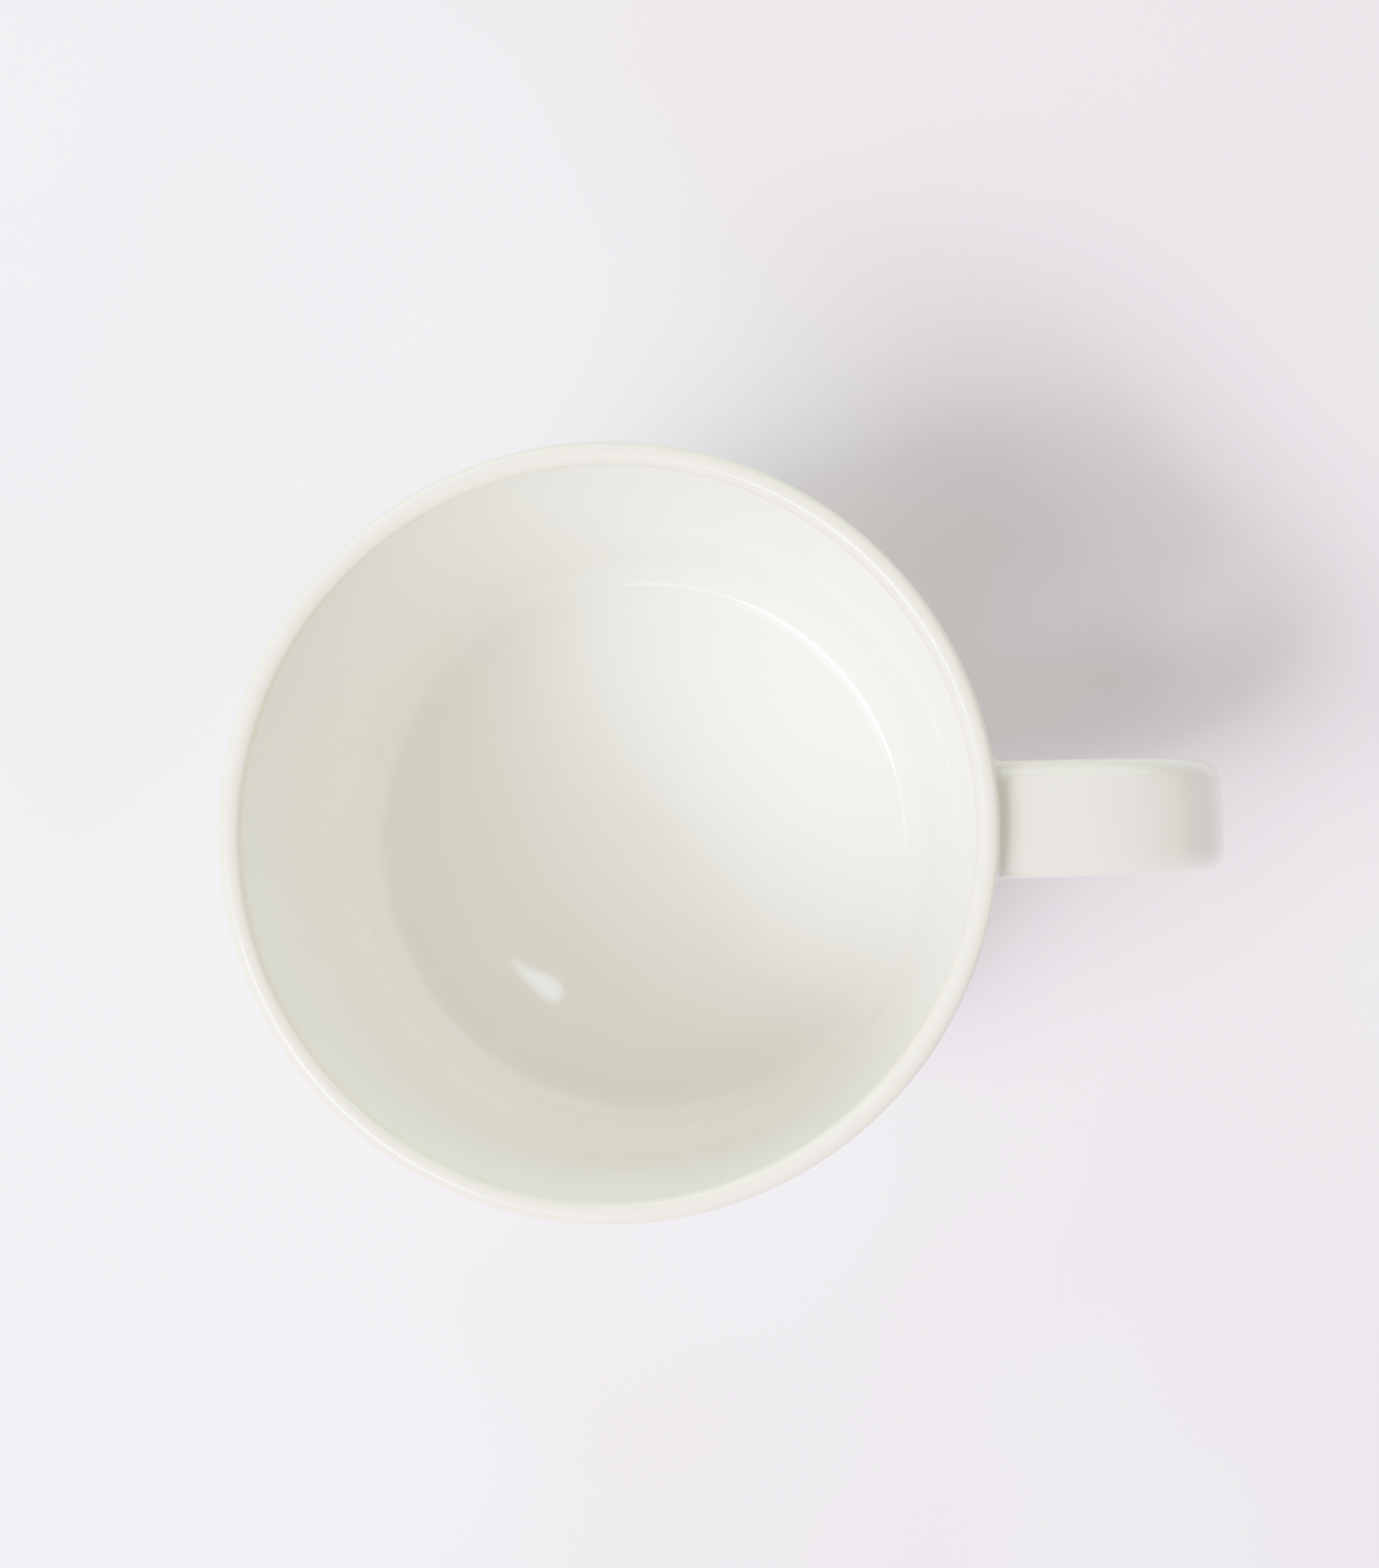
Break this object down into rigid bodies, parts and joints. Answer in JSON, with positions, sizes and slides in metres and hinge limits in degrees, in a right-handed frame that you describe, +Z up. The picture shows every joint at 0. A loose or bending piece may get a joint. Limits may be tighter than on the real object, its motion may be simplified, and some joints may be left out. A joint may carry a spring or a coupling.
{
  "type": "shaving mug",
  "caption": "Straight-sided glazed ceramic mug with a strap handle, rounded lip and coved floor, for whipping shaving lather or holding a soap puck.",
  "frame": {"origin": "on the cup's axis, in the plane that the foot ring stands on", "axes": "+Z up along the cup's axis, out of its mouth; +X from the axis towards the handle"},
  "size_m": [0.1148, 0.086, 0.087],
  "materials": {
    "bare_clay": "unglazed fired clay, matt and slightly gritty, seen only on the foot ring",
    "handle_clay": "unglazed fired clay under the glaze",
    "joint_slip": "fired slip under the glaze",
    "cup_glaze": "glossy warm off-white glaze, thinner and browner at the lip's outer edge",
    "base_glaze": "glossy warm off-white glaze in the recess under the base",
    "handle_glaze": "glossy warm off-white glaze"
  },
  "bodies": {
    "root": {"cup_body": "bare_clay", "handle": "handle_clay", "upper_joint_slip": "joint_slip", "lower_joint_slip": "joint_slip", "cup_glaze": "cup_glaze", "base_glaze": "base_glaze", "handle_glaze": "handle_glaze"}
  },
  "joints": []
}
